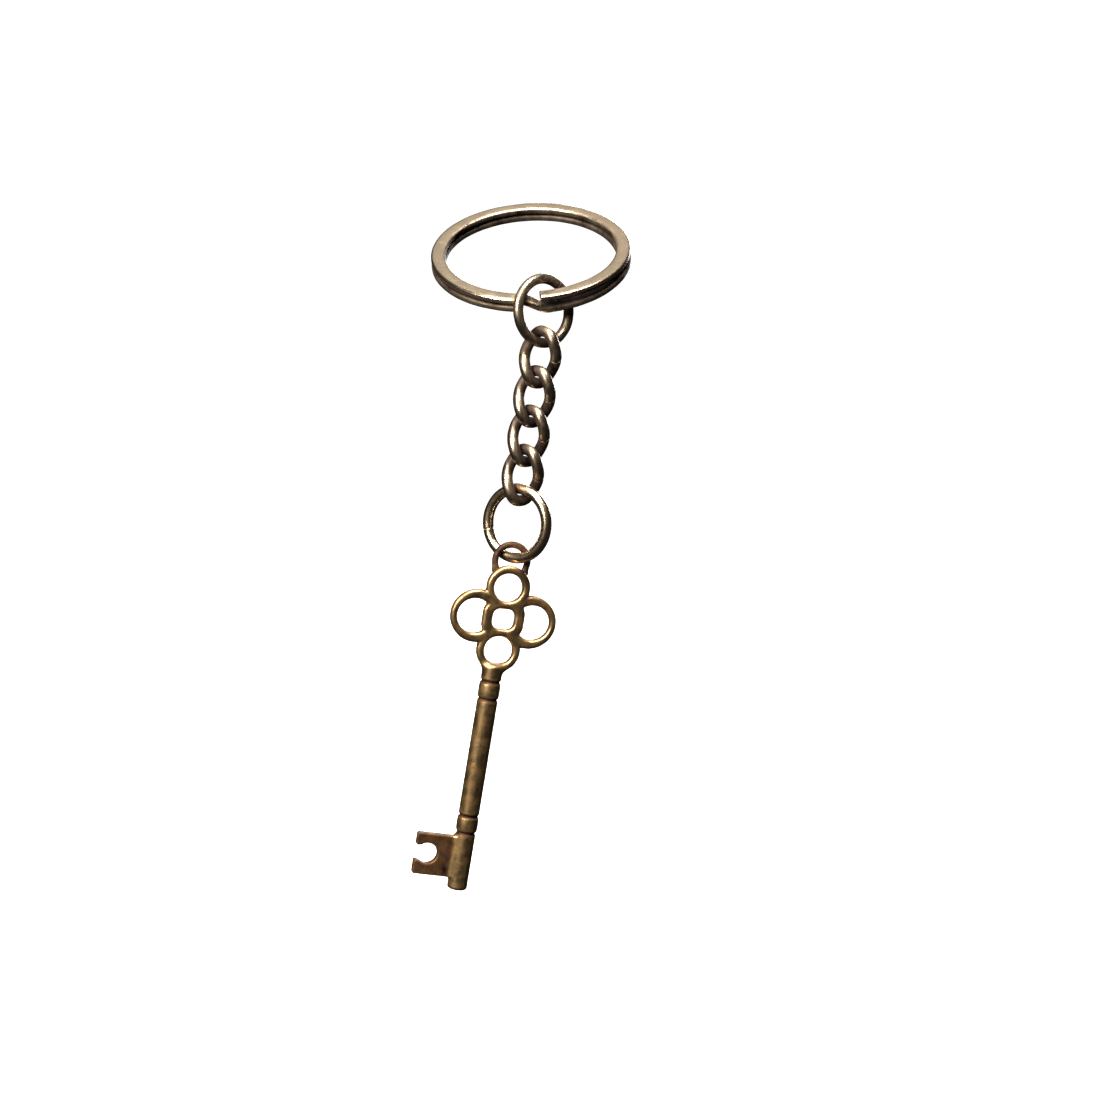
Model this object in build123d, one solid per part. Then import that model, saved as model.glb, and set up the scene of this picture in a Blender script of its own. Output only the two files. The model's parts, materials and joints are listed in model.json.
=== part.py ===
from build123d import *

import os
from math import cos, degrees, radians, sin

# A keychain with a skeleton key charm, hanging straight down from its split ring.
# Millimetres and degrees. The origin is the middle of the split ring, +Z is up,
# and the flat front of the key faces -Y.

# Split ring: flat spring wire wound twice, with its free ends sprung apart.
RING_OUTER = 30.0
RING_BAND = 2.2
RING_WIRE = 1.15
RING_WIRE_CORNER = 0.4
COIL_GAP_OPEN = 0.7
COIL_GAP_CLOSED = 0.05
COIL_END_ANGLE = 6.0
COIL_GAP_FADES = 170.0
CROSSING_START = 348.0
CROSSING_END = 365.0
COIL_END_CLEARANCE = 3.0
COIL_SECTIONS = 136
RING_SIDE_TILT = 10.5
RING_BACK_TILT = 26.7

# Round wire links.
CONNECTOR_OUTER = 10.95
CONNECTOR_WIRE = 1.55
CONNECTOR_TURN = 39.0
CONNECTOR_LEAN = 10.0
CONNECTOR_SEAM_AT = 60.0
JUMP_RING_OUTER = 11.9
JUMP_RING_WIRE = 1.62
JUMP_RING_TURN = -32.0
JUMP_RING_SEAM_AT = 200.0
SEAM_GAP = 0.04

# Curb links: twisted ovals of round wire.
CURB_LINKS = 4
CURB_LENGTH = 9.38
CURB_WIDTH = 6.3
CURB_WIRE = 1.72
CURB_TWIST = 42.0
CURB_SQUARENESS = 2.5
CURB_PATH_POINTS = 28

# How the pieces hang on each other.
RIM_ANGLE = 11.0
RIM_DROP = 1.5
CONNECTOR_FORWARD = 0.33
LINK_CLEARANCE = 0.08
LOOP_CLEARANCE = 0.6
JUMP_RING_ASIDE = 0.2

# Hanging loop: a wire horseshoe seated on the back of the key's top petal.
LOOP_WIDTH = 5.85
LOOP_WIRE = 1.0
LOOP_RISE = 3.5
LOOP_PINCH = 12.0
LOOP_LEG = 1.3
LOOP_BEHIND_FACE = 0.25

# Key bow: four petals round a framed middle.
KEY_TURN = 12.0
KEY_LEAN = 0.9
BOW_THICKNESS = 1.4
BOW_EDGE_ROUND = 0.42
PETAL_OUTER = 6.6
PETAL_HOLE = 4.2
PETAL_AT = 4.75
SIDE_PETAL_OUTER = 8.0
SIDE_PETAL_HOLE = 5.15
SIDE_PETAL_AT = 4.0
SIDE_HOLE_AT = 4.35
FRAME_WIDTH = 6.35
FRAME_HEIGHT = 5.0
FRAME_CORNER = 1.6
MIDDLE_HOLE_WIDTH = 3.25
MIDDLE_HOLE_HEIGHT = 3.0
MIDDLE_HOLE_CORNER = 1.1
PETAL_VALLEY_ROUND = 0.5
SIDE_HOLE_CORNER = 0.5

# Key stem, measured down from the middle of the bow and set a little to its left.
STEM_ASIDE = 0.35
STEM_TOP = 6.9
STEM_TIP = 41.55
SHAFT_RADIUS = 1.57
COLLAR_RADIUS = 1.56
BARREL_RADIUS = 1.52
TIP_ROUND = 0.5
GROOVES = (9.5, 12.2, 30.1, 32.7)
GROOVE_HALF = 0.25
GROOVE_DEPTH = 0.2
COLLAR_CROWN = 0.07

# Key bit, a notched flag beside the end of the stem.
BIT_REACH = 7.25
BIT_BOTTOM = 39.8
BIT_TOP = 33.45
BIT_THICKNESS = 1.4
BIT_EDGE_ROUND = 0.2
NOTCH_RADIUS = 1.55
NOTCH_OUT = 5.4
NOTCH_AT = 36.5
NOTCH_MOUTH = 2.2
PRONG_ROUND = 0.3

UP = Vector(0, 0, 1)
RING_RADIUS = (RING_OUTER - RING_BAND) / 2
CONNECTOR_RADIUS = (CONNECTOR_OUTER - CONNECTOR_WIRE) / 2
JUMP_RING_RADIUS = (JUMP_RING_OUTER - JUMP_RING_WIRE) / 2
CURB_HALF_LENGTH = (CURB_LENGTH - CURB_WIRE) / 2
CURB_HALF_WIDTH = (CURB_WIDTH - CURB_WIRE) / 2
LOOP_RADIUS = (LOOP_WIDTH - LOOP_WIRE) / 2
LOOP_BACK = BOW_THICKNESS / 2 + LOOP_BEHIND_FACE
LOOP_TOP = PETAL_AT + PETAL_OUTER / 2 + LOOP_RISE - LOOP_WIRE / 2


def level(angle):
    """The level direction that is turned by this angle about +Z from +X."""
    return Vector(cos(radians(angle)), sin(radians(angle)), 0)


def ring_plane():
    """The split ring's own plane: right side up a little, back side up more."""
    side, back = radians(RING_SIDE_TILT), radians(RING_BACK_TILT)
    across = Vector(cos(side), 0, sin(side))
    normal = Vector(-sin(side) * cos(back), -sin(back), cos(side) * cos(back))
    return Plane(origin=(0, 0, 0), x_dir=across, z_dir=normal)


def hanging_places():
    """The middles of the connector, the curb links and the jump ring, and the loop's top."""
    plane = ring_plane()
    front = radians(RIM_ANGLE - 90)
    rim = plane.from_local_coords(Vector(RING_RADIUS * cos(front), RING_RADIUS * sin(front), 0))
    sideways = level(CONNECTOR_TURN + 90) * CONNECTOR_RADIUS * sin(radians(CONNECTOR_LEAN))
    bottom_drop = CONNECTOR_RADIUS * cos(radians(CONNECTOR_LEAN))
    connector = rim + sideways - Vector(0, CONNECTOR_FORWARD, RIM_DROP)
    connector_bottom = connector - sideways - UP * bottom_drop
    seat = connector_bottom + UP * ((CONNECTOR_WIRE + CURB_WIRE) / 2 + LINK_CLEARANCE)
    curbs = []
    for _ in range(CURB_LINKS):
        middle = seat - UP * CURB_HALF_LENGTH
        curbs.append(middle)
        seat = middle - UP * (CURB_HALF_LENGTH - CURB_WIRE - LINK_CLEARANCE)
    seat += Vector(JUMP_RING_ASIDE, 0, -(CURB_WIRE - JUMP_RING_WIRE) / 2)
    jump_ring = seat - UP * JUMP_RING_RADIUS
    loop_top = jump_ring - UP * (JUMP_RING_RADIUS - (JUMP_RING_WIRE + LOOP_WIRE) / 2 - LOOP_CLEARANCE)
    return connector, curbs, jump_ring, loop_top


def coil_gap(turned):
    """The gap between the two turns of the ring, widest at the free end of the upper turn."""
    share = min(1, turned / COIL_GAP_FADES)
    return COIL_GAP_CLOSED + COIL_GAP_OPEN * cos(radians(90) * share) ** 2


def coil_height(turned):
    """Height of the wire's middle over the ring's middle plane, along its two turns."""
    if turned <= CROSSING_START:
        return (RING_WIRE + coil_gap(turned)) / 2
    if turned >= CROSSING_END:
        return -(RING_WIRE + coil_gap(turned - 360)) / 2
    share = (turned - CROSSING_START) / (CROSSING_END - CROSSING_START)
    ease = share * share * (3 - 2 * share)
    upper = (RING_WIRE + coil_gap(CROSSING_START)) / 2
    lower = -(RING_WIRE + coil_gap(0)) / 2
    return upper + (lower - upper) * ease


def coil_section(turned):
    """The flat wire's rounded section, this many degrees along from its upper end."""
    angle = radians(turned - 90 + COIL_END_ANGLE)
    middle = (RING_RADIUS * cos(angle), RING_RADIUS * sin(angle), coil_height(turned))
    across = (cos(angle), sin(angle), 0)
    along = (-sin(angle), cos(angle), 0)
    section_plane = Plane(origin=middle, x_dir=across, z_dir=along)
    return section_plane * RectangleRounded(RING_BAND, RING_WIRE, RING_WIRE_CORNER)


def make_split_ring():
    last = CROSSING_START + 360 - COIL_END_CLEARANCE
    sections = [coil_section(last * step / COIL_SECTIONS) for step in range(COIL_SECTIONS + 1)]
    return ring_plane() * loft(sections)


def make_round_link(outer, wire, seam_at):
    """A ring of round wire in the XZ plane, open by a hair at its seam."""
    radius = (outer - wire) / 2
    seam = degrees(SEAM_GAP / radius)
    ring = Torus(radius, wire / 2, major_angle=360 - seam)
    return Rot(90, 0, 0) * Rot(0, 0, seam_at + seam / 2) * ring


def place_round_link(link, middle, turn, lean):
    """Lean the link's top back, turn it about +Z and set its middle in place."""
    return Pos(middle) * Rot(0, 0, turn) * Rot(-lean, 0, 0) * link


def curb_point(angle):
    """A point of a curb link's centre line: a squarish oval twisted about +Z."""
    def squarish(value, half):
        size = abs(value) ** (2 / CURB_SQUARENESS)
        return half * size if value > 0 else -half * size

    out = squarish(cos(angle), CURB_HALF_WIDTH)
    height = squarish(sin(angle), CURB_HALF_LENGTH)
    share = height / CURB_HALF_LENGTH
    twist = -radians(CURB_TWIST) * (1.5 * share - 0.5 * share**3)
    return (out * cos(twist), out * sin(twist), height)


def make_curb_link():
    """One link, its wire's butt seam halfway up the right-hand side."""
    seam = SEAM_GAP / 2 / CURB_HALF_LENGTH
    full = radians(360) - 2 * seam
    angles = [seam + full * step / CURB_PATH_POINTS for step in range(CURB_PATH_POINTS + 1)]
    path = Spline([curb_point(angle) for angle in angles])
    start = Plane(origin=path @ 0, z_dir=path % 0)
    return sweep(start * Circle(CURB_WIRE / 2), path)


def bow_outline():
    """The bow's flat outline with its five openings."""
    petals = Sketch()
    for side in (1, -1):
        petals += Pos(0, side * PETAL_AT) * Circle(PETAL_OUTER / 2)
        petals += Pos(side * SIDE_PETAL_AT, 0) * Circle(SIDE_PETAL_OUTER / 2)
    frame = RectangleRounded(FRAME_WIDTH, FRAME_HEIGHT, FRAME_CORNER)
    outline = petals + frame
    outline = fillet(outline.vertices(), PETAL_VALLEY_ROUND)
    for side in (1, -1):
        opening = Pos(side * SIDE_HOLE_AT, 0) * Circle(SIDE_PETAL_HOLE / 2) - frame
        corners = opening.vertices().sort_by(Axis.Y)
        outline -= fillet([corners[0], corners[-1]], SIDE_HOLE_CORNER)
        outline -= Pos(0, side * PETAL_AT) * Circle(PETAL_HOLE / 2)
    return outline - RectangleRounded(MIDDLE_HOLE_WIDTH, MIDDLE_HOLE_HEIGHT, MIDDLE_HOLE_CORNER)


def make_bow():
    plate = extrude(Plane.XZ * bow_outline(), amount=BOW_THICKNESS / 2, both=True)
    flat_faces = plate.faces().filter_by(Axis.Y)
    return fillet(flat_faces.edges(), BOW_EDGE_ROUND)


def make_stem():
    """The turned stem: rings of grooves with crowned collars, a shaft and a barrel end."""
    first, second, third, fourth = GROOVES
    spans = (
        (STEM_TOP, first, COLLAR_RADIUS, 0),
        (first, second, COLLAR_RADIUS, COLLAR_CROWN),
        (second, third, SHAFT_RADIUS, 0),
        (third, fourth, COLLAR_RADIUS, COLLAR_CROWN),
    )
    outline = [Line((0, -STEM_TOP), (COLLAR_RADIUS, -STEM_TOP))]
    for top, groove, radius, crown in spans:
        start = outline[-1] @ 1
        end = (radius, -groove + GROOVE_HALF)
        if crown:
            middle = (radius + crown, (start.Y + end[1]) / 2)
            outline.append(ThreePointArc(start, middle, end))
        else:
            outline.append(Line(start, end))
        below = SHAFT_RADIUS if groove == second else COLLAR_RADIUS
        if groove == fourth:
            below = BARREL_RADIUS
        bottom = (min(radius, below) - GROOVE_DEPTH, -groove)
        outline.append(ThreePointArc(end, bottom, (below, -groove - GROOVE_HALF)))
    outline.append(Line(outline[-1] @ 1, (BARREL_RADIUS, -STEM_TIP + TIP_ROUND)))
    outline.append(
        RadiusArc(outline[-1] @ 1, (BARREL_RADIUS - TIP_ROUND, -STEM_TIP), TIP_ROUND)
    )
    outline.append(Line(outline[-1] @ 1, (0, -STEM_TIP)))
    outline.append(Line((0, -STEM_TIP), (0, -STEM_TOP)))
    return revolve(Plane.XZ * make_face(outline), Axis.Z)


def make_bit():
    """The flag beside the barrel, with a round notch open towards -X."""
    middle_height = -(BIT_TOP + BIT_BOTTOM) / 2
    flag = Pos(-BIT_REACH / 2, middle_height) * Rectangle(BIT_REACH, BIT_BOTTOM - BIT_TOP)
    flag -= Pos(-NOTCH_OUT, -NOTCH_AT) * Circle(NOTCH_RADIUS)
    flag -= Pos(-NOTCH_OUT - NOTCH_RADIUS, -NOTCH_AT) * Rectangle(2 * NOTCH_RADIUS, NOTCH_MOUTH)
    prong_corners = [corner for corner in flag.vertices() if corner.X < -NOTCH_OUT]
    flag = fillet(prong_corners, PRONG_ROUND)
    plate = extrude(Plane.XZ * flag, amount=BIT_THICKNESS / 2, both=True)
    return fillet(plate.faces().filter_by(Axis.Y).edges(), BIT_EDGE_ROUND)


def make_key():
    return make_bow() + Pos(-STEM_ASIDE, 0, 0) * (make_stem() + make_bit())


def make_hanging_loop(bow):
    """The horseshoe in the key's own frame; its legs are cut flush to the petal's back."""
    pinch = radians(LOOP_PINCH)
    knee_out = LOOP_RADIUS * cos(pinch)
    knee = LOOP_TOP - LOOP_RADIUS * (1 + sin(pinch))
    foot_out = knee_out - LOOP_LEG * sin(pinch)
    foot = knee - LOOP_LEG * cos(pinch)
    left_leg = Line((-foot_out, LOOP_BACK, foot), (-knee_out, LOOP_BACK, knee))
    arch = ThreePointArc(left_leg @ 1, (0, LOOP_BACK, LOOP_TOP), (knee_out, LOOP_BACK, knee))
    right_leg = Line(arch @ 1, (foot_out, LOOP_BACK, foot))
    path = left_leg + arch + right_leg
    wire = sweep(Plane(origin=path @ 0, z_dir=path % 0) * Circle(LOOP_WIRE / 2), path)
    return wire - bow


def build():
    connector_at, curbs_at, jump_ring_at, loop_top_at = hanging_places()
    connector = make_round_link(CONNECTOR_OUTER, CONNECTOR_WIRE, CONNECTOR_SEAM_AT)
    jump_ring = make_round_link(JUMP_RING_OUTER, JUMP_RING_WIRE, JUMP_RING_SEAM_AT)
    curb_link = make_curb_link()
    key_place = Pos(loop_top_at) * Rot(0, KEY_LEAN, 0) * Rot(0, 0, KEY_TURN)
    key_place *= Pos(0, -LOOP_BACK, -LOOP_TOP)

    nodes = {
        "split_ring": make_split_ring(),
        "connector_link": place_round_link(connector, connector_at, CONNECTOR_TURN, CONNECTOR_LEAN),
    }
    for number, middle in enumerate(curbs_at, start=1):
        nodes[f"curb_link_{number}"] = Pos(middle) * curb_link
    nodes["jump_ring"] = place_round_link(jump_ring, jump_ring_at, JUMP_RING_TURN, 0)
    nodes["skeleton_key"] = key_place * make_key()
    nodes["hanging_loop"] = key_place * make_hanging_loop(make_bow())
    return nodes


os.makedirs("parts", exist_ok=True)
for name, solid in build().items():
    export_step(solid, f"parts/{name}.step")
    print(name, round(solid.volume, 2), "mm3")
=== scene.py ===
import json
from math import cos, pi, radians, sin

import bpy
import numpy as np
from mathutils import Matrix, Vector, noise


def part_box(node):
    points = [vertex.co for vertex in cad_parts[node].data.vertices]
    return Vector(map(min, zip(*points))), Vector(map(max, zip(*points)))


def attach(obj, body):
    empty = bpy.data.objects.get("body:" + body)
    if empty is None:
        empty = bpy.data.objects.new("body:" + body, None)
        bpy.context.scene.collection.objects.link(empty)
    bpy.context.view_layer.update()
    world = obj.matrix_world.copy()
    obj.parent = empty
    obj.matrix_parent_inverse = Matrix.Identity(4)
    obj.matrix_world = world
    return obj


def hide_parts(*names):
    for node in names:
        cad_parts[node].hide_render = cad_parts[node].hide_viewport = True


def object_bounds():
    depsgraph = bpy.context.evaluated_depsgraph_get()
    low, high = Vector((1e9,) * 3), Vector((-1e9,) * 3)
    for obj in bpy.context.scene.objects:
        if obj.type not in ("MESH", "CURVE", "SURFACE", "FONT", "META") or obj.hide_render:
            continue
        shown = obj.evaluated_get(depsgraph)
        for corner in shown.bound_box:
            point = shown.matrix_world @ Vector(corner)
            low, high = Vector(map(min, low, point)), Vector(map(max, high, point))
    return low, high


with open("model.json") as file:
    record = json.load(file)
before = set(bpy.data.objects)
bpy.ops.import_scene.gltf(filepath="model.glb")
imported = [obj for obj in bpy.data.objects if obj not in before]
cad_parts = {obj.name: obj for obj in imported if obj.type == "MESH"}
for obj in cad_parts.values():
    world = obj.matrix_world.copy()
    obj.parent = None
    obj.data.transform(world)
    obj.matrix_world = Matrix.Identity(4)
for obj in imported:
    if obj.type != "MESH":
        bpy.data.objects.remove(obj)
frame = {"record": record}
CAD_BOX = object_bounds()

# A keychain: a split ring, a short curb chain, a jump ring and a skeleton key charm, in aged bronze.
# Sizes are in millimetres and angles in degrees. Millimetres become metres as each mesh is made.
MM = 0.001

# Split ring.
RING_OUTER = 30.0
RING_BAND = 2.2
RING_WIRE = 1.15
RING_SQUARENESS = 3.4
COIL_GAP_OPEN = 0.7
COIL_GAP_CLOSED = 0.05
COIL_GAP_FADES = 170.0
COIL_END_ANGLE = 6.0
CROSSING_START = 348.0
CROSSING_END = 365.0
COIL_END_CLEARANCE = 3.0

# Round wire links.
CONNECTOR_OUTER = 10.95
CONNECTOR_WIRE = 1.55
CONNECTOR_TURN = 39.0
CONNECTOR_LEAN = 10.0
CONNECTOR_SEAM_AT = 60.0
JUMP_RING_OUTER = 11.9
JUMP_RING_WIRE = 1.62
JUMP_RING_TURN = -32.0
JUMP_RING_SEAM_AT = 200.0
SEAM_GAP = 0.04

# Curb links.
CURB_LINKS = 4
CURB_LENGTH = 9.38
CURB_WIDTH = 6.3
CURB_WIRE = 1.72
CURB_TWIST = 42.0
CURB_SQUARENESS = 2.5

# Hanging loop on the back of the key's top petal.
LOOP_WIDTH = 5.85
LOOP_WIRE = 1.0
LOOP_RISE = 3.5
LOOP_PINCH = 12.0
LOOP_LEG = 1.3
LOOP_CLEARANCE = 0.6
LOOP_BEHIND_FACE = 0.25

# Key.
KEY_TURN = 12.0
KEY_LEAN = 0.9
BOW_THICKNESS = 1.4
BOW_EDGE_ROUND = 0.52
PETAL_OUTER = 6.6
PETAL_HOLE = 4.2
PETAL_AT = 4.75
SIDE_PETAL_OUTER = 8.0
SIDE_PETAL_HOLE = 5.15
SIDE_PETAL_AT = 4.0
SIDE_HOLE_AT = 4.35
FRAME_WIDTH = 6.35
FRAME_HEIGHT = 5.0
FRAME_CORNER = 1.6
MIDDLE_HOLE_WIDTH = 3.25
MIDDLE_HOLE_HEIGHT = 3.0
MIDDLE_HOLE_CORNER = 1.1
STEM_ASIDE = 0.35
STEM_TOP = 6.9
STEM_TIP = 41.55
SHAFT_RADIUS = 1.57
COLLAR_RADIUS = 1.56
BARREL_RADIUS = 1.52
TIP_ROUND = 0.5
GROOVES = (9.5, 12.2, 30.1, 32.7)
GROOVE_HALF = 0.25
GROOVE_DEPTH = 0.2
GROOVE_STEEPNESS = 1.6
COLLAR_CROWN = 0.07
BIT_REACH = 7.25
BIT_BOTTOM = 39.8
BIT_TOP = 33.45
BIT_THICKNESS = 1.4
BIT_EDGE_ROUND = 0.2
NOTCH_RADIUS = 1.55
NOTCH_OUT = 5.4
NOTCH_AT = 36.5
NOTCH_MOUTH = 2.2
PRONG_ROUND = 0.3

# Fillets where the key's shapes meet, and the rounding of its cut edges.
PETAL_BLEND = 0.35
OPENING_ROUND = 0.1
SIDE_OPENING_ROUND = 0.4
STEM_BLEND = 0.8
BIT_BLEND = 0.6
NOTCH_ROUND = 0.15
MOUTH_ROUND = 0.3
MOUTH_CORNER = 0.1

# A small pool of solder at each foot of the loop.
SOLDER_HALF_SIZE = (0.62, 0.34, 0.75)
SOLDER_ABOVE_FOOT = 0.25
SOLDER_BLEND = 0.25

# Fineness of the meshes.
WIRE_STEP = 0.16
WIRE_END_ROUND = 0.12
FLAT_WIRE_SIDES = 40
ROUND_WIRE_SIDES = 32
CIRCLE_SQUARENESS = 2
COIL_SAMPLES = 900
ROUND_SAMPLES = 361
CURB_SAMPLES = 721
END_ROUND_STEPS = 6
KEY_GRID = 0.13
LOOP_GRID = 0.08
SLOPE_STEP = 0.01
SMOOTHING_ROUNDS = 4
PULLS_TO_SURFACE = 3
GRID_MARGIN = 0.3
KEY_DEPTH_MARGIN = 0.35
LOOP_HALF_DEPTH = 0.8
LOOP_FOOT_MARGIN = 1.6

# Wear, grime, painted shade and dents. A fade has two ends, and uneven wear and wire dents have a size and a
# depth.
FAR_AWAY = 1e9
GAP_SAMPLES = 160
RING_REACH = 1.0
WIRE_RUB = 0.55
WIRE_RUB_FADE = (0.1, 1)
WIRE_UNEVEN_WEAR = (1.7, 0.5)
# Grime and painted shade on wires where they meet the ones beside them.
WIRE_GRIME_AND_SHADE = 1.5
WIRE_GRIME_AND_SHADE_FADE = (0.1, 1.9)
WIRE_DENTS = ((2.3, 0.02), (0.7, 0.008))
# Painted shade on the split ring's walls and between its turns.
COIL_WALL_PAINTED_SHADE = 1.6
OUTER_WALL_FADE = (0.15, 0.65)
INNER_WALL_FADE = (0.6, 0.98)
BETWEEN_TURNS_FADE = (-0.35, 0.1)
CAST_EDGE_RUB = 1.1
CAST_UNEVEN_WEAR = (1.5, 0.35)
CAST_CORNER_GRIME = 1.6
# The fade of the painted shade on a cast piece near the wires beside it.
CAST_NEIGHBOUR_SHADE_FADE = (0.05, 1.2)
CAST_DENT_SIZES = (2.0, 0.6)
OPENNESS_REACH = 0.7
EDGE_REACH = 0.35
KEY_DENT = 0.015
LOOP_DENT = 0.01
KEY_SEED = 20
LOOP_SEED = 30
# Painted shade on the key's bit and bow walls, dark stain in its grooves, and a painted highlight on its
# collars.
BIT_PAINTED_SHADE = 0.75
GROOVE_STAIN = 1.2
GROOVE_STAIN_SPREAD = 1.6
BOW_WALL_PAINTED_SHADE = 0.5
BOW_WALL_SHADE_FADE = (0.05, 0.5)
COLLAR_PAINTED_HIGHLIGHT = 0.3
COLLAR_FADE = 0.3
# The loop painted darker overall, with painted shade at its feet and inside its arch.
LOOP_DARKENING = 0.8
FOOT_PAINTED_SHADE = 1.1
FOOT_SHADE_ABOVE = 0.9
FOOT_SHADE_BELOW = 0.2
ARCH_PAINTED_SHADE = 0.9
ARCH_SHADE_FADE = (0, 0.8)

RING_RADIUS = (RING_OUTER - RING_BAND) / 2
LOOP_RADIUS = (LOOP_WIDTH - LOOP_WIRE) / 2
LOOP_BACK = BOW_THICKNESS / 2 + LOOP_BEHIND_FACE
PETAL_TOP = PETAL_AT + PETAL_OUTER / 2
LOOP_TOP = PETAL_TOP + LOOP_RISE - LOOP_WIRE / 2

X, Y, Z = Vector((1, 0, 0)), Vector((0, 1, 0)), Vector((0, 0, 1))


# ---- Places, all from the frame ----

def middle_of(node):
    low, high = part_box(node)
    return (low + high) / 2 / MM


def ring_place():
    """The split ring's own plane: its eye's axis is up, and its right-hand side stays in the XZ plane."""
    normal = Vector(frame["record"]["mounts"][0]["axis"]).normalized()
    across = Y.cross(normal).normalized()
    return Matrix((across, normal.cross(across), normal)).transposed().to_4x4()


def link_place(node, turn, lean):
    """The middle of a round link, leant back from upright and then turned about the vertical."""
    lean_back = Matrix.Rotation(radians(-lean), 4, "X")
    return Matrix.Translation(middle_of(node)) @ Matrix.Rotation(radians(turn), 4, "Z") @ lean_back


def key_place():
    """The middle of the bow. The key leans and turns about the loop's top, over the jump ring's bottom."""
    rise = JUMP_RING_WIRE + LOOP_WIRE / 2 + LOOP_CLEARANCE
    loop_top = Matrix.Translation(middle_of("jump_ring") - Z * (JUMP_RING_OUTER / 2 - rise))
    turn = Matrix.Rotation(radians(KEY_LEAN), 4, "Y") @ Matrix.Rotation(radians(KEY_TURN), 4, "Z")
    return loop_top @ turn @ Matrix.Translation((0, -LOOP_BACK, -LOOP_TOP))


# ---- Meshes ----

def placed(points, place):
    turn = np.array(place.to_3x3())
    return points @ turn.T + np.array(place.translation)


def smooth_step(values, low, high):
    share = np.clip((values - low) / (high - low), 0, 1)
    return share * share * (3 - 2 * share)


def ripple(points, size, depth, seed):
    """A soft random rise and fall for each point, this many millimetres across and deep."""
    shift = Vector((seed * 17.3, seed * 5.1, seed * 9.7))
    return depth * np.array([noise.noise(Vector(point) / size + shift) for point in points])


def make_piece(name, points, faces, wear, grime_and_shade, grain):
    """A smooth mesh that carries its wear, its grime and painted shade, and the run of its metal as
    attributes.
    """
    mesh = bpy.data.meshes.new(name)
    mesh.from_pydata(points * MM, [], faces)
    mesh.shade_smooth()
    for layer_name, values in (("wear", wear), ("grime_and_shade", grime_and_shade)):
        layer = mesh.attributes.new(layer_name, "FLOAT", "POINT")
        layer.data.foreach_set("value", np.asarray(values, np.float32))
    layer = mesh.attributes.new("grain", "FLOAT_VECTOR", "POINT")
    layer.data.foreach_set("vector", np.asarray(grain, np.float32).ravel())
    piece = bpy.data.objects.new(name, mesh)
    bpy.context.scene.collection.objects.link(piece)
    return piece


def lengths_along(path):
    return np.concatenate([[0], np.cumsum(np.linalg.norm(np.diff(path, axis=0), axis=1))])


def superellipse(angle, half_width, half_height, squareness):
    power = 2 / squareness
    out = half_width * np.sign(np.cos(angle)) * np.abs(np.cos(angle)) ** power
    up = half_height * np.sign(np.sin(angle)) * np.abs(np.sin(angle)) ** power
    return out, up


def wire_section(width, height, squareness, sides):
    """The outline of a wire that is cut across, as a ring of points."""
    angle = np.arange(sides) * 2 * pi / sides
    return np.stack(superellipse(angle, width / 2, height / 2, squareness), axis=1)


def swept_wire(path, side, section):
    """Points, faces, grain and outward directions of a wire along a path. Its cut ends have rounded edges."""
    along = lengths_along(path)
    total = along[-1]
    ease = np.linspace(0, pi / 2, END_ROUND_STEPS)
    start = WIRE_END_ROUND * (1 - np.cos(ease))
    body = np.linspace(WIRE_END_ROUND, total - WIRE_END_ROUND, int(total / WIRE_STEP))[1:-1]
    stations = np.concatenate([start, body, total - start[::-1]])
    half = np.abs(section).max(axis=0)
    inset = WIRE_END_ROUND * (1 - np.sin(ease))
    insets = np.concatenate([inset, np.zeros(len(body)), inset[::-1]])

    def at_stations(values):
        return np.stack([np.interp(stations, along, values[:, axis]) for axis in range(3)], axis=1)

    centre = at_stations(path)
    tangent = np.gradient(at_stations(path), stations, axis=0)
    tangent /= np.linalg.norm(tangent, axis=1, keepdims=True)
    across = at_stations(side)
    across -= tangent * np.sum(across * tangent, axis=1, keepdims=True)
    across /= np.linalg.norm(across, axis=1, keepdims=True)
    lift = np.cross(tangent, across)
    shrink = 1 - insets[:, None, None] / half[None, None, :]
    offsets = section[None, :, :] * shrink
    points = centre[:, None] + across[:, None] * offsets[..., :1] + lift[:, None] * offsets[..., 1:]
    rows, count = points.shape[:2]
    ring = np.arange(count)
    faces = []
    for row in range(rows - 1):
        low, high = row * count + ring, (row + 1) * count + ring
        faces += np.stack([low, np.roll(low, -1), np.roll(high, -1), high], axis=1).tolist()
    faces.append(ring[::-1].tolist())
    faces.append((ring + (rows - 1) * count).tolist())
    grain = np.broadcast_to(offsets, (rows, count, 2))
    grain = np.concatenate([np.broadcast_to(stations[:, None, None], (rows, count, 1)), grain], axis=2)
    tilt = section / half**2
    normal = across[:, None] * tilt[None, :, :1] + lift[:, None] * tilt[None, :, 1:]
    normal /= np.linalg.norm(normal, axis=2, keepdims=True)
    return points.reshape(-1, 3), faces, grain.reshape(-1, 3), normal.reshape(-1, 3)


def gap_to(points, neighbours):
    """How far each point is from the nearest of the wires beside it."""
    gap = np.full(len(points), FAR_AWAY)
    for path, radius in neighbours:
        for spot in path[:: len(path) // GAP_SAMPLES]:
            gap = np.minimum(gap, np.linalg.norm(points - spot, axis=1) - radius)
    return gap


# ---- Paths of the wires: each has its points, and the direction of the section's width at each point ----

def coil_height(turned):
    """The flat wire's height over the ring's middle plane, this many degrees from its upper end."""
    def gap(angle):
        share = np.minimum(1, angle / COIL_GAP_FADES)
        return COIL_GAP_CLOSED + COIL_GAP_OPEN * np.cos(pi / 2 * share) ** 2

    upper = (RING_WIRE + gap(turned)) / 2
    lower = -(RING_WIRE + gap(np.maximum(turned - 360, 0))) / 2
    start, end = (RING_WIRE + gap(CROSSING_START)) / 2, -(RING_WIRE + gap(0)) / 2
    crossing = start + (end - start) * smooth_step(turned, CROSSING_START, CROSSING_END)
    return np.where(turned <= CROSSING_START, upper, np.where(turned >= CROSSING_END, lower, crossing))


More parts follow.
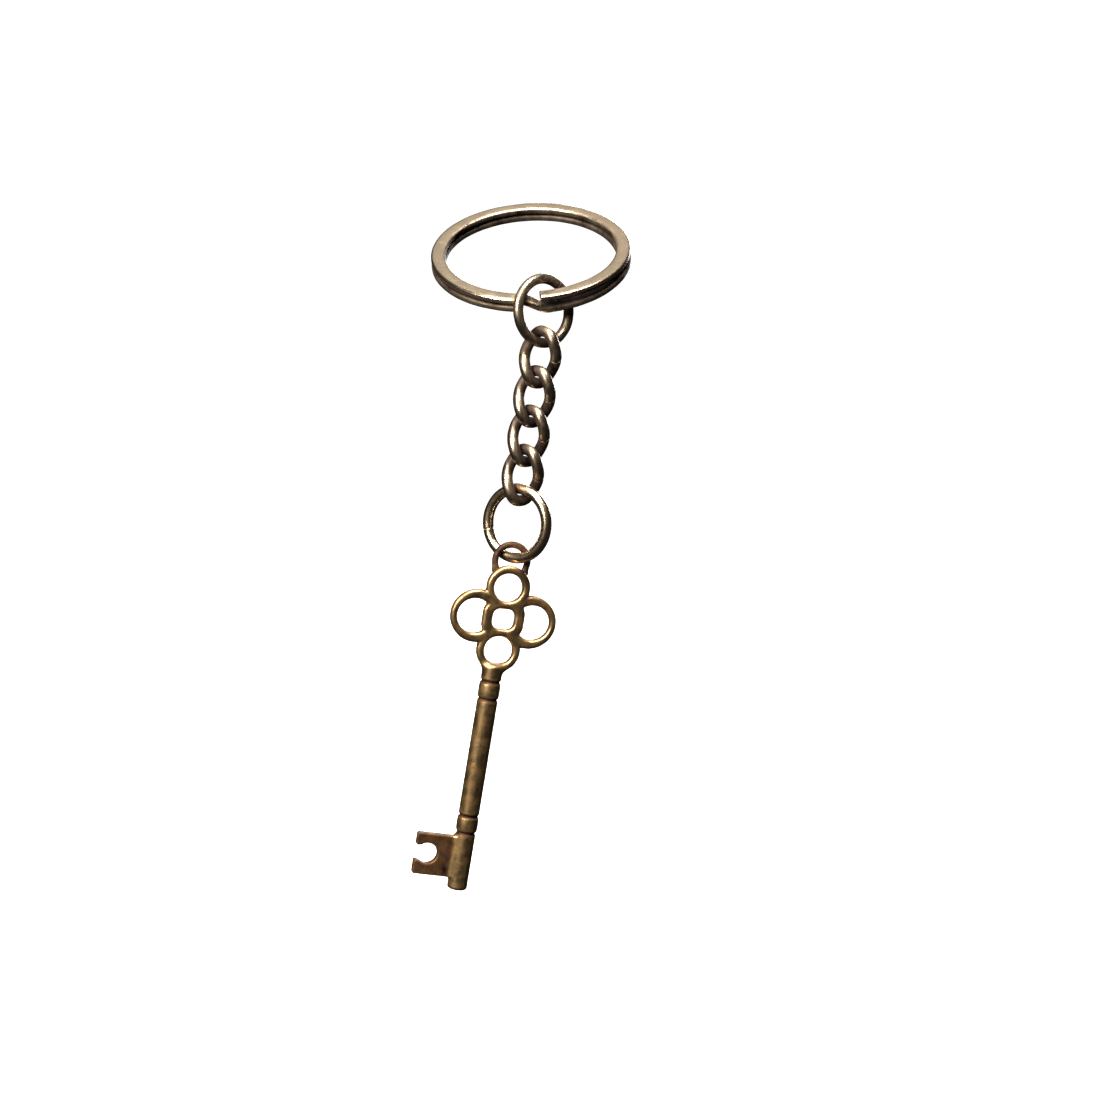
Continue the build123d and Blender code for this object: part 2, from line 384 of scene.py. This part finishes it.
def coil_path():
    turned = np.linspace(0, CROSSING_START + 360 - COIL_END_CLEARANCE, COIL_SAMPLES)
    angle = np.radians(turned - 90 + COIL_END_ANGLE)
    flat = np.stack([np.cos(angle), np.sin(angle), np.zeros_like(angle)], axis=1)
    path = RING_RADIUS * flat
    path[:, 2] = coil_height(turned)
    return placed(path, ring_place()), placed(flat, ring_place())


def round_path(outer, wire, seam_at, place):
    radius = (outer - wire) / 2
    seam = SEAM_GAP / radius
    angle = radians(seam_at) + np.linspace(seam / 2, 2 * pi - seam / 2, ROUND_SAMPLES)
    path = radius * np.stack([np.cos(angle), np.zeros_like(angle), np.sin(angle)], axis=1)
    axis = np.broadcast_to(np.array(place.to_3x3() @ Y), path.shape)
    return placed(path, place), axis


def curb_path(middle):
    """A squarish oval that is twisted one way at its top and the other way at its bottom."""
    half_length, half_width = (CURB_LENGTH - CURB_WIRE) / 2, (CURB_WIDTH - CURB_WIRE) / 2
    seam = SEAM_GAP / 2 / half_length
    angle = np.linspace(seam, 2 * pi - seam, CURB_SAMPLES)
    out, height = superellipse(angle, half_width, half_length, CURB_SQUARENESS)
    share = height / half_length
    twist = -radians(CURB_TWIST) * (1.5 * share - 0.5 * share**3)
    path = np.stack([out * np.cos(twist), out * np.sin(twist), height], axis=1)
    return path + np.array(middle), path


# ---- Solids from their signed distances ----

def circle(x, z, at_x, at_z, radius):
    return np.hypot(x - at_x, z - at_z) - radius


def rounded_box(x, z, half_width, half_height, corner):
    out = np.abs(x) - half_width + corner
    up = np.abs(z) - half_height + corner
    outside = np.hypot(np.maximum(out, 0), np.maximum(up, 0))
    return outside + np.minimum(np.maximum(out, up), 0) - corner


def joined(a, b, blend):
    """Two solids as one, with a fillet about this wide where they meet."""
    share = np.clip(0.5 + 0.5 * (b - a) / blend, 0, 1)
    return b + (a - b) * share - blend * share * (1 - share)


def cut(a, b, blend):
    return -joined(-a, b, blend)


def plate(outline, depth, half_thickness, edge_round):
    """A flat outline given thickness, with rounded edges."""
    out = outline + edge_round
    up = np.abs(depth) - half_thickness + edge_round
    outside = np.hypot(np.maximum(out, 0), np.maximum(up, 0))
    return outside + np.minimum(np.maximum(out, up), 0) - edge_round


def bow_distance(x, y, z):
    block = rounded_box(x, z, FRAME_WIDTH / 2, FRAME_HEIGHT / 2, FRAME_CORNER)
    outline = block
    for side in (1, -1):
        outline = joined(outline, circle(x, z, 0, side * PETAL_AT, PETAL_OUTER / 2), PETAL_BLEND)
        outline = joined(outline, circle(x, z, side * SIDE_PETAL_AT, 0, SIDE_PETAL_OUTER / 2), PETAL_BLEND)
    for side in (1, -1):
        eye = circle(x, z, side * SIDE_HOLE_AT, 0, SIDE_PETAL_HOLE / 2)
        outline = cut(outline, cut(eye, block, SIDE_OPENING_ROUND), OPENING_ROUND)
        outline = cut(outline, circle(x, z, 0, side * PETAL_AT, PETAL_HOLE / 2), OPENING_ROUND)
    middle = rounded_box(x, z, MIDDLE_HOLE_WIDTH / 2, MIDDLE_HOLE_HEIGHT / 2, MIDDLE_HOLE_CORNER)
    return plate(cut(outline, middle, OPENING_ROUND), y, BOW_THICKNESS / 2, BOW_EDGE_ROUND)


def stem_distance(x, y, z):
    first, second, third, fourth = GROOVES
    radius = np.where(-z < second, COLLAR_RADIUS, SHAFT_RADIUS)
    radius = np.where(-z > third, COLLAR_RADIUS, radius)
    radius = np.where(-z > fourth, BARREL_RADIUS, radius)
    for top, bottom in ((first, second), (third, fourth)):
        share = (-z - (top + bottom) / 2) / ((bottom - top) / 2)
        radius = radius + COLLAR_CROWN * np.clip(1 - share**2, 0, 1)
    for groove in GROOVES:
        radius = radius - GROOVE_DEPTH * np.exp(-(((z + groove) / GROOVE_HALF) ** 2) * GROOVE_STEEPNESS)
    middle, half = -(STEM_TOP + STEM_TIP) / 2, (STEM_TIP - STEM_TOP) / 2
    return plate(np.hypot(x, y) - radius, z - middle, half, TIP_ROUND)


def bit_distance(x, y, z):
    middle, half = -(BIT_TOP + BIT_BOTTOM) / 2, (BIT_BOTTOM - BIT_TOP) / 2
    flag = rounded_box(x + BIT_REACH / 2, z - middle, BIT_REACH / 2, half, PRONG_ROUND)
    flag = cut(flag, circle(x, z, -NOTCH_OUT, -NOTCH_AT, NOTCH_RADIUS), NOTCH_ROUND)
    beyond = 1
    half_mouth = BIT_REACH - NOTCH_OUT + beyond
    mouth = rounded_box(x + BIT_REACH + beyond, z + NOTCH_AT, half_mouth, NOTCH_MOUTH / 2, MOUTH_CORNER)
    return plate(cut(flag, mouth, MOUTH_ROUND), y, BIT_THICKNESS / 2, BIT_EDGE_ROUND)


def key_distance(points):
    x, y, z = points[..., 0], points[..., 1], points[..., 2]
    solid = joined(bow_distance(x, y, z), stem_distance(x + STEM_ASIDE, y, z), STEM_BLEND)
    return joined(solid, bit_distance(x + STEM_ASIDE, y, z), BIT_BLEND)


def loop_distance(points):
    """Half an arch of round wire, mirrored, with a straight leg that leans inward and its pool of solder."""
    x, y, z = np.abs(points[..., 0]), points[..., 1] - LOOP_BACK, points[..., 2] - LOOP_TOP + LOOP_RADIUS
    pinch = radians(LOOP_PINCH)
    from_knee_x, from_knee_z = x - LOOP_RADIUS * cos(pinch), z + LOOP_RADIUS * sin(pinch)
    down_leg = -from_knee_x * sin(pinch) - from_knee_z * cos(pinch)
    beside_leg = from_knee_x * cos(pinch) - from_knee_z * sin(pinch)
    arch = np.hypot(np.hypot(x, z) - LOOP_RADIUS, y)
    leg = np.sqrt(beside_leg**2 + y**2 + np.maximum(down_leg - LOOP_LEG, 0) ** 2)
    wire = np.where(down_leg < 0, arch, leg) - LOOP_WIRE / 2
    solder = np.array(SOLDER_HALF_SIZE)
    away = np.stack([beside_leg, y + LOOP_BEHIND_FACE, down_leg - LOOP_LEG + SOLDER_ABOVE_FOOT], axis=-1)
    reach = np.linalg.norm(away / solder, axis=-1)
    pool = reach * (reach - 1) / np.maximum(np.linalg.norm(away / solder**2, axis=-1), 1e-6)
    return joined(wire, pool, SOLDER_BLEND)


def key_stain_and_shading(points, normal):
    """Dark stain in the key's grooves, painted shade on its bit and on the sideways-facing walls of its bow's
    openings and edges, and a painted highlight on its collars.
    """
    x, z = points[:, 0] + STEM_ASIDE, points[:, 2]
    # Painted shade: the bit is painted darker.
    on_bit = smooth_step(-x, BARREL_RADIUS + 0.1, BARREL_RADIUS + 0.8) * smooth_step(-z, BIT_TOP - 1, BIT_TOP)
    grooves = sum(np.exp(-(((z + groove) / (GROOVE_STAIN_SPREAD * GROOVE_HALF)) ** 2)) for groove in GROOVES)
    on_bow = smooth_step(z, -STEM_TOP - 1, -STEM_TOP + 1)
    # Painted shade: the bow's walls that face sideways are painted darker.
    walls = on_bow * (1 - smooth_step(np.abs(normal[:, 1]), *BOW_WALL_SHADE_FADE))
    # Painted highlight: the collars between the grooves are painted lighter.
    collars = sum(
        smooth_step(-z, top, top + COLLAR_FADE) * smooth_step(z, -bottom, COLLAR_FADE - bottom)
        for top, bottom in (GROOVES[:2], GROOVES[2:]))
    return BIT_PAINTED_SHADE * on_bit + GROOVE_STAIN * grooves + BOW_WALL_PAINTED_SHADE * walls - COLLAR_PAINTED_HIGHLIGHT * collars


def loop_darkening_and_shade(points, normal):
    """The whole loop darker, with painted shade at its two feet and inside its arch."""
    # Painted shade at the feet.
    feet = smooth_step(-points[:, 2], -PETAL_TOP - FOOT_SHADE_ABOVE, -PETAL_TOP + FOOT_SHADE_BELOW)
    height = points[:, 2] - LOOP_TOP + LOOP_RADIUS
    inward = -(normal[:, 0] * points[:, 0] + normal[:, 2] * height) / LOOP_RADIUS
    # Painted shade inside the arch, on the faces that look inward.
    return LOOP_DARKENING + FOOT_PAINTED_SHADE * feet + ARCH_PAINTED_SHADE * smooth_step(inward, *ARCH_SHADE_FADE)


def slope_of(distance, points):
    """The direction in which the distance grows, and how fast it grows."""
    slopes = []
    for axis in range(3):
        shift = np.zeros(3)
        shift[axis] = SLOPE_STEP
        slopes.append((distance(points + shift) - distance(points - shift)) / (2 * SLOPE_STEP))
    slope = np.stack(slopes, axis=-1)
    return slope, np.linalg.norm(slope, axis=-1, keepdims=True)


def surface_of(distance, low, high, step):
    """Even quads where the distance is zero: one point for each grid cell that the surface crosses."""
    axes = [np.arange(a, b + step, step) for a, b in zip(low, high)]
    grid = np.stack(np.meshgrid(*axes, indexing="ij"), axis=-1)
    inside = distance(grid) < 0
    cells = np.zeros([size - 1 for size in inside.shape], int)
    for shift in np.ndindex(2, 2, 2):
        cells += inside[tuple(slice(s, s + n) for s, n in zip(shift, cells.shape))]
    crossed = (cells > 0) & (cells < 8)
    number = np.full(cells.shape, -1)
    number[crossed] = np.arange(crossed.sum())
    points = np.array(low) + (np.argwhere(crossed) + 0.5) * step
    quads = []
    for axis in range(3):
        first, second = (axis + 1) % 3, (axis + 2) % 3
        here = np.take(inside, range(inside.shape[axis] - 1), axis)
        there = np.take(inside, range(1, inside.shape[axis]), axis)
        for leaves in (True, False):
            spots = np.argwhere((here != there) & (here == leaves))
            spots = spots[(spots[:, first] > 0) & (spots[:, second] > 0)]
            corners = []
            for a, b in ((1, 1), (0, 1), (0, 0), (1, 0)):
                cell = spots.copy()
                cell[:, first] -= a
                cell[:, second] -= b
                corners.append(number[tuple(cell.T)])
            corners = np.stack(corners, axis=1)
            quads.append(corners if leaves else corners[:, ::-1])
    quads = np.concatenate(quads)
    edges = np.concatenate([quads[:, [k, (k + 1) % 4]] for k in range(4)])
    for _ in range(SMOOTHING_ROUNDS):
        total, count = np.zeros_like(points), np.zeros(len(points))
        for a, b in ((0, 1), (1, 0)):
            np.add.at(total, edges[:, a], points[edges[:, b]])
            np.add.at(count, edges[:, a], 1)
        points = 0.5 * points + 0.5 * total / count[:, None]
        for _ in range(PULLS_TO_SURFACE):
            slope, size = slope_of(distance, points)
            points = points - distance(points)[:, None] * slope / size**2
    return points, quads.tolist()


# ---- Pieces ----

def rubbed(points, middle, normal):
    """More wear where the metal faces away from the middle of its piece."""
    outward = points - np.array(middle)
    outward /= np.linalg.norm(outward, axis=1, keepdims=True)
    return smooth_step(np.sum(outward * normal, axis=1), *WIRE_RUB_FADE)


def coil_painted_shade(points, normal, along, path):
    """Painted shade on the split ring's inner and outer walls and between its turns: these faces are painted
    dark.
    """
    up = normal @ np.array(ring_place().to_3x3() @ Z)
    inward = -np.sum(points * normal, axis=1) / RING_RADIUS
    outer_wall = 1 - smooth_step(np.abs(up), *OUTER_WALL_FADE)
    inner_wall = 1 - smooth_step(np.abs(up), *INNER_WALL_FADE)
    painted_shade = COIL_WALL_PAINTED_SHADE * np.where(inward > 0, inner_wall, outer_wall)
    lengths = lengths_along(path)
    for turn in (2 * pi * RING_RADIUS, -2 * pi * RING_RADIUS):
        spot = along + turn
        other = np.stack([np.interp(spot, lengths, path[:, axis]) for axis in range(3)], axis=1)
        toward = other - points
        facing = np.sum(toward * normal, axis=1) / np.linalg.norm(toward, axis=1)
        there = (spot > 0) & (spot < lengths[-1])
        painted_shade = np.maximum(painted_shade, COIL_WALL_PAINTED_SHADE * there * smooth_step(facing, *BETWEEN_TURNS_FADE))
    return painted_shade


def make_wire(name, route, section, neighbours, painted_shade, seed):
    path, side = route
    points, faces, grain, normal = swept_wire(path, side, section)
    wear = WIRE_RUB * rubbed(points, path.mean(axis=0), normal) + ripple(points, *WIRE_UNEVEN_WEAR, seed)
    # Darker near the wires beside it: grime and painted shade where they meet.
    grime_and_shade = WIRE_GRIME_AND_SHADE * (1 - smooth_step(gap_to(points, neighbours), *WIRE_GRIME_AND_SHADE_FADE))
    # The split ring's painted shade: its walls and the faces between its turns are painted dark.
    if painted_shade:
        grime_and_shade = np.maximum(grime_and_shade, painted_shade(points, normal, grain[:, 0], path))
    (wide, deep), (narrow, shallow) = WIRE_DENTS
    dents = ripple(points, wide, deep, seed + 1) + ripple(points, narrow, shallow, seed + 2) - deep
    points = points + normal * dents[:, None]
    return make_piece(name, points, faces, wear, grime_and_shade, grain)


def make_cast(name, distance, darkening_and_shading, low, high, step, neighbours, dent, seed):
    """A piece of the key from its signed distance, worn on its edges and grimy in its corners, with the
    stain, painted shade and painted highlight of its darkening function and painted shade near the wires
    beside it.
    """
    place = key_place()
    points, faces = surface_of(distance, low, high, step)
    slope, size = slope_of(distance, points)
    normal = slope / size
    openness = distance(points + normal * OPENNESS_REACH) / OPENNESS_REACH
    solidity = -distance(points - normal * EDGE_REACH) / EDGE_REACH
    wear = CAST_EDGE_RUB * np.clip(1 - solidity, 0, 1) + ripple(points, *CAST_UNEVEN_WEAR, seed)
    # The corners' grime, plus the stain, painted shade and painted highlight that the darkening function
    # gives.
    grime_and_shade = np.clip(CAST_CORNER_GRIME * (1 - openness), 0, 1) + darkening_and_shading(points, normal)
    # Painted shade near the wires beside it, where the jump ring passes the loop.
    gap = gap_to(placed(points, place), neighbours)
    grime_and_shade = np.maximum(grime_and_shade, 1 - smooth_step(gap, *CAST_NEIGHBOUR_SHADE_FADE))
    wide, narrow = CAST_DENT_SIZES
    dents = ripple(points, wide, dent, seed + 1) + ripple(points, narrow, dent / 3, seed + 2) - dent
    points = points + normal * dents[:, None]
    grain = points[:, [2, 0, 1]]
    return make_piece(name, placed(points, place), faces, wear, grime_and_shade, grain)


# ---- Metals ----

class Nodes:
    """A short way to write a material's node tree."""

    def __init__(self, material):
        material.use_nodes = True
        self.tree = material.node_tree
        self.tree.nodes.clear()

    def add(self, kind, inputs=None, **settings):
        node = self.tree.nodes.new(kind)
        for name, value in settings.items():
            setattr(node, name, value)
        for name, value in (inputs or {}).items():
            if isinstance(value, bpy.types.NodeSocket):
                self.tree.links.new(value, node.inputs[name])
            else:
                node.inputs[name].default_value = value
        return node

    def maths(self, operation, a, b, clamp=False):
        node = self.add("ShaderNodeMath", {0: a, 1: b}, operation=operation, use_clamp=clamp)
        return node.outputs[0]

    def attribute(self, name, output):
        return self.add("ShaderNodeAttribute", attribute_name=name).outputs[output]

    def scaled(self, vector, scale):
        node = self.add("ShaderNodeVectorMath", {0: vector, 1: scale}, operation="MULTIPLY")
        return node.outputs[0]

    def noise(self, vector, scale, detail, roughness):
        inputs = {"Vector": vector, "Scale": scale, "Detail": detail, "Roughness": roughness}
        return self.add("ShaderNodeTexNoise", inputs).outputs[0]


TONES_AT = (0.0, 0.35, 0.7, 1.0)
GRAIN_STRETCH = (0.12, 3.2, 3.2)
GRIME_AND_SHADE_DARKENS = 0.75
WEAR_BRIGHTENS = 0.38
SPECKLES_DARKEN = 0.4
TINT_GAIN = 0.9
TINT_FROM = 0.25
DARK_ROUGHENS = 0.34
STREAKS_ROUGHEN = 0.16
CLEAN_METALLIC = 1.12
DARK_DULLS = 0.45
STREAK_HEIGHT = 0.5
LUMP_HEIGHT = 1.2
BUMP_STRENGTH = 0.6
BUMP_DEPTH = 0.03

# Noises: scale, detail and roughness.
BLOTCHES = (0.75, 4, 0.55)
SPECKLES = (5.5, 6, 0.6)
STREAKS = (2.4, 5, 0.65)
TINTED_PATCHES = (0.42, 3, 0.5)
LUMPS = (1.6, 3, 0.5)


def bronze(name, tones, tint, age, gloss, streaks, pits):
    """Aged bronze: four tones from rubbed bright to dark, the dark end serving caked grime and painted shade,
    with streaks along the metal's run.
    """
    material = bpy.data.materials.new(name)
    nodes = Nodes(material)
    place = nodes.scaled(nodes.add("ShaderNodeTexCoord").outputs["Object"], (1 / MM, 1 / MM, 1 / MM))
    grain = nodes.scaled(nodes.attribute("grain", "Vector"), GRAIN_STRETCH)
    blotch = nodes.noise(place, *BLOTCHES)
    speckle = nodes.noise(place, *SPECKLES)
    streak = nodes.noise(grain, *STREAKS)

    # Darker with grime and painted shade, lighter with wear.
    dark = nodes.maths("MULTIPLY", nodes.attribute("grime_and_shade", "Fac"), GRIME_AND_SHADE_DARKENS)
    wear = nodes.maths("MULTIPLY", nodes.attribute("wear", "Fac"), WEAR_BRIGHTENS)
    dark = nodes.maths("SUBTRACT", dark, wear)
    for source, share in ((blotch, 1.0), (speckle, SPECKLES_DARKEN), (streak, streaks)):
        about_nought = nodes.maths("SUBTRACT", source, 0.5)
        dark = nodes.maths("ADD", dark, nodes.maths("MULTIPLY", about_nought, share))
    dark = nodes.maths("ADD", dark, age, clamp=True)

    ramp = nodes.add("ShaderNodeValToRGB", {"Fac": dark})
    ramp.color_ramp.interpolation = "EASE"
    stops = ramp.color_ramp.elements
    while len(stops) < len(tones):
        stops.new(0.5)
    for stop, at, tone in zip(stops, TONES_AT, tones):
        stop.position = at
        stop.color = (*tone, 1)
    tinting = nodes.maths("MULTIPLY", nodes.noise(place, *TINTED_PATCHES), TINT_GAIN, clamp=True)
    tinting = nodes.maths("SUBTRACT", tinting, TINT_FROM, clamp=True)
    colour = nodes.add("ShaderNodeMix", data_type="RGBA", blend_type="MIX")
    colour.inputs[7].default_value = (*tint, 1)
    nodes.tree.links.new(ramp.outputs["Color"], colour.inputs[6])
    nodes.tree.links.new(tinting, colour.inputs[0])

    roughness = nodes.maths("MULTIPLY", dark, DARK_ROUGHENS)
    roughness = nodes.maths("ADD", roughness, nodes.maths("MULTIPLY", streak, STREAKS_ROUGHEN))
    roughness = nodes.maths("ADD", roughness, gloss, clamp=True)
    metallic = nodes.maths("SUBTRACT", CLEAN_METALLIC, nodes.maths("MULTIPLY", dark, DARK_DULLS), clamp=True)

    height = nodes.maths("MULTIPLY", speckle, pits)
    height = nodes.maths("ADD", height, nodes.maths("MULTIPLY", streak, STREAK_HEIGHT))
    height = nodes.maths("ADD", height, nodes.maths("MULTIPLY", nodes.noise(place, *LUMPS), LUMP_HEIGHT))
    bump = nodes.add(
        "ShaderNodeBump", {"Height": height, "Strength": BUMP_STRENGTH, "Distance": BUMP_DEPTH * MM})
    shader = nodes.add("ShaderNodeBsdfPrincipled", {
        "Base Color": colour.outputs[2],
        "Roughness": roughness,
        "Metallic": metallic,
        "Normal": bump.outputs["Normal"],
    })
    nodes.add("ShaderNodeOutputMaterial", {"Surface": shader.outputs[0]})
    return material


def plain(name, colour, glow):
    """A matt colour that glows a little, for the floor."""
    material = bpy.data.materials.new(name)
    nodes = Nodes(material)
    shader = nodes.add("ShaderNodeBsdfPrincipled", {
        "Base Color": (*colour, 1),
        "Roughness": 0.9,
        "Emission Color": (*colour, 1),
        "Emission Strength": glow,
    })
    nodes.add("ShaderNodeOutputMaterial", {"Surface": shader.outputs[0]})
    return material


# ---- Stage ----

CAMERA_LENS = 100
CAMERA_AWAY = 458
CAMERA_ELEVATION = 8.0
CAMERA_ROLL = 8.5
VIEW_RIGHT = 9.31
VIEW_DOWN = 43.12
CLIP_NEAR, CLIP_FAR = 0.01, 20
FLOOR_BELOW = 34
FLOOR_REACH = 1500
FLOOR_BEND = 600
FLOOR_TURNS = 64
BEND_STEPS = 12
WALL_HEIGHT = 6000
PALE = (0.95, 0.95, 0.95)
FLOOR_GLOW = 0.95
WARM, COOL = (1, 0.97, 0.9), (0.95, 0.97, 1)
WORLD_COLOUR = (0.34, 0.33, 0.31, 1)
WORLD_STRENGTH = 0.028


def make_camera():
    """A little above the object and in front of it, rolled so that the chain hangs aslant."""
    elevation, roll = radians(CAMERA_ELEVATION), radians(CAMERA_ROLL)
    back = Vector((0, -cos(elevation), sin(elevation)))
    up = Vector((0, sin(elevation), cos(elevation)))
    aim = X * VIEW_RIGHT - up * VIEW_DOWN
    top = up * cos(roll) - X * sin(roll)
    turn = Matrix((top.cross(back), top, back)).transposed().to_4x4()
    data = bpy.data.cameras.new("camera")
    data.lens = CAMERA_LENS
    data.clip_start, data.clip_end = CLIP_NEAR, CLIP_FAR
    camera = bpy.data.objects.new("camera", data)
    camera.matrix_world = Matrix.Translation((aim + back * CAMERA_AWAY) * MM) @ turn
    bpy.context.scene.collection.objects.link(camera)
    bpy.context.scene.camera = camera


def make_floor():
    """A pale floor that curves up into a wall all round the object."""
    level = CAD_BOX[0].z / MM - FLOOR_BELOW
    profile = [(1, level)]
    for step in range(BEND_STEPS + 1):
        bend = pi / 2 * step / BEND_STEPS
        profile.append((FLOOR_REACH - FLOOR_BEND * (1 - sin(bend)), level + FLOOR_BEND * (1 - cos(bend))))
    profile.append((FLOOR_REACH, level + WALL_HEIGHT))
    angles = [2 * pi * turn / FLOOR_TURNS for turn in range(FLOOR_TURNS)]
    points = [(out * cos(angle), out * sin(angle), z) for angle in angles for out, z in profile]
    count = len(profile)
    faces = [[row * count for row in range(FLOOR_TURNS)]]
    for turn in range(FLOOR_TURNS):
        here, there = turn * count, (turn + 1) % FLOOR_TURNS * count
        faces += [(here + k, here + k + 1, there + k + 1, there + k) for k in range(count - 1)]
    mesh = bpy.data.meshes.new("floor")
    mesh.from_pydata([Vector(point) * MM for point in points], [], faces)
    mesh.shade_smooth()
    mesh.materials.append(plain("pale_floor", PALE, FLOOR_GLOW))
    floor = bpy.data.objects.new("floor", mesh)
    floor.visible_glossy = False
    floor.visible_diffuse = False
    bpy.context.scene.collection.objects.link(floor)


def make_light(name, offset, width, height, power, colour):
    """A soft box this far from the object's middle, and turned toward it."""
    aim = (CAD_BOX[0] + CAD_BOX[1]) / 2 / MM
    spot = aim + Vector(offset)
    data = bpy.data.lights.new(name, "AREA")
    data.shape = "RECTANGLE"
    data.size, data.size_y = width * MM, height * MM
    data.energy = power
    data.color = colour
    light = bpy.data.objects.new(name, data)
    light.location = spot * MM
    light.rotation_mode = "QUATERNION"
    light.rotation_quaternion = (spot - aim).to_track_quat("Z", "Y")
    bpy.context.scene.collection.objects.link(light)


def make_lights():
    """Soft boxes, each with its offset from the object's middle, width, height, watts and colour."""
    make_light("key_light", (-300, -410, 260), 120, 340, 5.4, WARM)
    make_light("top_light", (-30, -150, 520), 300, 220, 4.8, WARM)
    make_light("back_light", (120, 480, 160), 260, 260, 2.0, COOL)
    make_light("sky_panel", (-90, 240, 470), 420, 420, 0.24, WARM)
    world = bpy.data.worlds.new("studio")
    world.use_nodes = True
    background = world.node_tree.nodes["Background"]
    background.inputs["Color"].default_value = WORLD_COLOUR
    background.inputs["Strength"].default_value = WORLD_STRENGTH
    bpy.context.scene.world = world
    bpy.context.scene.view_settings.view_transform = "Standard"


# ---- The object ----

def make_metals():
    """The four finishes, by slot."""
    return {
        "ring_bronze": bronze(
            "ring_bronze",
            [(0.92, 0.74, 0.53), (0.76, 0.59, 0.41), (0.2, 0.12, 0.07), (0.006, 0.003, 0.002)],
            tint=(0.6, 0.44, 0.32), age=0.07, gloss=0.17, streaks=0.25, pits=0.5),
        "chain_bronze": bronze(
            "chain_bronze",
            [(0.9, 0.77, 0.6), (0.54, 0.42, 0.28), (0.1, 0.062, 0.035), (0.005, 0.003, 0.003)],
            tint=(0.36, 0.24, 0.19), age=0.38, gloss=0.15, streaks=0.2, pits=0.7),
        "copper_bronze": bronze(
            "copper_bronze",
            [(0.95, 0.74, 0.48), (0.68, 0.44, 0.24), (0.24, 0.11, 0.055), (0.014, 0.008, 0.005)],
            tint=(0.7, 0.47, 0.33), age=-0.1, gloss=0.17, streaks=0.25, pits=0.5),
        "key_bronze": bronze(
            "key_bronze",
            [(0.82, 0.62, 0.36), (0.62, 0.4, 0.17), (0.17, 0.08, 0.025), (0.008, 0.003, 0.003)],
            tint=(0.38, 0.19, 0.1), age=0.33, gloss=0.2, streaks=0.3, pits=1.0),
    }


def finish(piece, metals, node, slot, body):
    piece.data.materials.append(metals[slot])
    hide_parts(node)
    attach(piece, body)


def wire_routes():
    """Each wire's path, from the split ring down to the jump ring."""
    connector_place = link_place("connector_link", CONNECTOR_TURN, CONNECTOR_LEAN)
    jump_ring_place = link_place("jump_ring", JUMP_RING_TURN, 0)
    routes = {
        "split_ring": coil_path(),
        "connector_link": round_path(CONNECTOR_OUTER, CONNECTOR_WIRE, CONNECTOR_SEAM_AT, connector_place),
    }
    for number in range(1, CURB_LINKS + 1):
        node = f"curb_link_{number}"
        routes[node] = curb_path(middle_of(node))
    routes["jump_ring"] = round_path(JUMP_RING_OUTER, JUMP_RING_WIRE, JUMP_RING_SEAM_AT, jump_ring_place)
    return routes


def make_chain(routes, metals):
    """The split ring, the links and the jump ring, each darker where it meets the one above and below: grime
    and painted shade.
    """
    chain = list(routes)
    sections, reach, slots = {}, {}, {}
    for node in chain:
        wire = {"connector_link": CONNECTOR_WIRE, "jump_ring": JUMP_RING_WIRE}.get(node, CURB_WIRE)
        sections[node] = wire_section(wire, wire, CIRCLE_SQUARENESS, ROUND_WIRE_SIDES)
        reach[node] = wire / 2
        slots[node] = "chain_bronze"
    sections["split_ring"] = wire_section(RING_BAND, RING_WIRE, RING_SQUARENESS, FLAT_WIRE_SIDES)
    reach["split_ring"] = RING_REACH
    slots.update(split_ring="ring_bronze", jump_ring="copper_bronze")
    for place, node in enumerate(chain):
        around = [chain[k] for k in (place - 1, place + 1) if 0 <= k < len(chain)]
        neighbours = [(routes[other][0], reach[other]) for other in around]
        # Only the split ring gets painted shade on its walls and between its turns.
        painted_shade = coil_painted_shade if node == "split_ring" else None
        piece = make_wire(f"{node}_metal", routes[node], sections[node], neighbours, painted_shade, place + 1)
        finish(piece, metals, node, slots[node], node)


def make_charm(jump_ring_path, metals):
    """The key and its hanging loop, which move as one body."""
    half_bow = SIDE_PETAL_AT + SIDE_PETAL_OUTER / 2 + GRID_MARGIN
    half_depth = SHAFT_RADIUS + KEY_DEPTH_MARGIN
    low = (-half_bow, -half_depth, -STEM_TIP - GRID_MARGIN)
    high = (half_bow, half_depth, PETAL_TOP + GRID_MARGIN)
    key = make_cast(
        "skeleton_key_metal", key_distance, key_stain_and_shading, low, high, KEY_GRID, [], KEY_DENT, KEY_SEED)
    finish(key, metals, "skeleton_key", "key_bronze", "key")

    half_loop = LOOP_WIDTH / 2 + GRID_MARGIN
    foot = LOOP_TOP - LOOP_RADIUS - LOOP_LEG - LOOP_FOOT_MARGIN
    low = (-half_loop, LOOP_BACK - LOOP_HALF_DEPTH, foot)
    high = (half_loop, LOOP_BACK + LOOP_HALF_DEPTH, PETAL_TOP + LOOP_RISE + GRID_MARGIN)
    # The jump ring beside the loop, for painted shade where it passes.
    beside = [(jump_ring_path, JUMP_RING_WIRE / 2)]
    loop = make_cast(
        "hanging_loop_metal", loop_distance, loop_darkening_and_shade, low, high, LOOP_GRID, beside, LOOP_DENT, LOOP_SEED)
    finish(loop, metals, "hanging_loop", "key_bronze", "key")


def main():
    make_camera()
    make_floor()
    make_lights()
    metals = make_metals()
    routes = wire_routes()
    make_chain(routes, metals)
    make_charm(routes["jump_ring"][0], metals)


main()
